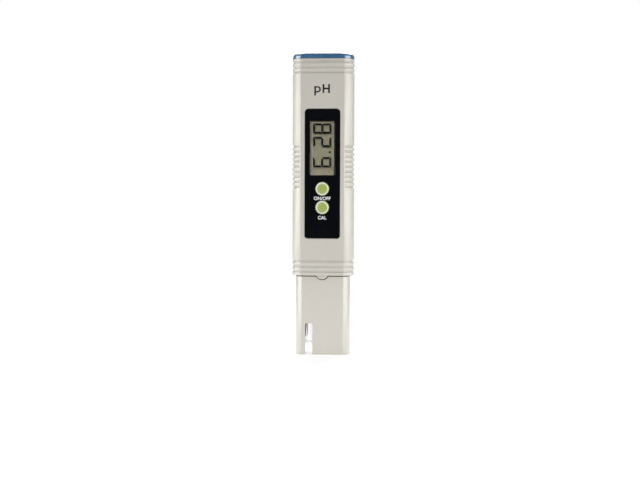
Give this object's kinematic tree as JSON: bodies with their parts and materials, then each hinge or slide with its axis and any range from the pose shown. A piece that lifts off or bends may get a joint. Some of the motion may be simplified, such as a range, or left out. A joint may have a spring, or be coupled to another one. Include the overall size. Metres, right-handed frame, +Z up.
{
  "type": "ph meter",
  "caption": "Pen-type pH meter with its probe cap off: ribbed case, glossy face with display and keys, pull-out battery cap, and a slotted probe housing around a glass bulb.",
  "frame": {"origin": "centre of the probe end's rim, on which the pen can stand", "axes": "+Z up the pen from the probe end to the battery cap, +Y from the display side to the back, +X to the right as the display is seen"},
  "size_m": [0.0318, 0.015, 0.154],
  "materials": {
    "case_plastic": "satin moulded",
    "housing_plastic": "satin moulded",
    "label_foil": "satin foil",
    "cap_plastic": "gloss moulded",
    "panel_plastic": "gloss",
    "window_acrylic": "clear polished",
    "key_silicone": "smooth",
    "seal_rubber": "smooth",
    "lcd_glass": "polished",
    "lcd_film": "satin film",
    "reflector_film": "satin film",
    "holder_plastic": "moulded",
    "zebra_rubber": "banded",
    "board_laminate": "solder mask",
    "screw_steel": "zinc plated",
    "switch_plastic": "moulded",
    "plunger_plastic": "moulded",
    "chip_resin": "moulded resin",
    "crystal_metal": "drawn can",
    "capacitor_ceramic": "fired",
    "resistor_ceramic": "fired",
    "tantalum_resin": "moulded resin",
    "contact_metal": "nickel plated",
    "cell_steel": "nickel plated",
    "electrode_glass": "clear blown",
    "electrode_metal": "chlorided silver",
    "plug_rubber": "moulded",
    "reference_plastic": "drawn tube",
    "junction_ceramic": "porous ceramic",
    "sensor_steel": "drawn tube",
    "potting_resin": "cast resin",
    "coax_jacket": "smooth",
    "wire_white": "smooth",
    "wire_red": "smooth"
  },
  "bodies": {
    "housing": {"front_shell": "case_plastic", "rear_shell": "case_plastic", "probe_housing": "housing_plastic", "rear_label": "label_foil", "face_panel": "panel_plastic", "display_window": "window_acrylic", "housing_seal": "seal_rubber", "lcd_glass": "lcd_glass", "lcd_polarizer": "lcd_film", "lcd_reflector": "reflector_film", "lcd_holder": "holder_plastic", "zebra_strip_left": "zebra_rubber", "zebra_strip_right": "zebra_rubber", "main_board": "board_laminate", "board_screws": "screw_steel", "power_switch_body": "switch_plastic", "cal_switch_body": "switch_plastic", "controller_chip": "chip_resin", "amplifier_chip": "chip_resin", "memory_chip": "chip_resin", "crystal_can": "crystal_metal", "chip_capacitors": "capacitor_ceramic", "chip_resistors": "resistor_ceramic", "tantalum_capacitor": "tantalum_resin", "battery_contact_plus": "contact_metal", "battery_contact_minus": "contact_metal", "battery_bridge_contact": "contact_metal", "glass_electrode": "electrode_glass", "electrode_wire": "electrode_metal", "reference_wire": "electrode_metal", "electrode_plug": "plug_rubber", "reference_plug": "plug_rubber", "reference_tube": "reference_plastic", "ceramic_junction": "junction_ceramic", "temperature_sensor": "sensor_steel", "potting_block": "potting_resin", "electrode_lead": "coax_jacket", "reference_lead": "wire_white", "sensor_leads": "wire_red"},
    "battery_drawer": {"battery_cap": "cap_plastic", "battery_cap_seal": "seal_rubber", "battery_tray": "holder_plastic", "button_cell_left": "cell_steel", "button_cell_right": "cell_steel"},
    "power_key": {"power_button": "key_silicone", "power_switch_plunger": "plunger_plastic"},
    "cal_key": {"cal_button": "key_silicone", "cal_switch_plunger": "plunger_plastic"}
  },
  "joints": [
    {"name": "battery_cap_slide", "type": "slide", "parent": "housing", "child": "battery_drawer", "axis": [0, 0, 1], "range_m": [0, 0.022]},
    {"name": "power_press", "type": "slide", "parent": "housing", "child": "power_key", "axis": [0, 1, 0], "range_m": [0, 0.00045], "stiffness_N_per_m": 800, "springref_m": -0.0005},
    {"name": "cal_press", "type": "slide", "parent": "housing", "child": "cal_key", "axis": [0, 1, 0], "range_m": [0, 0.00045], "stiffness_N_per_m": 800, "springref_m": -0.0005}
  ]
}
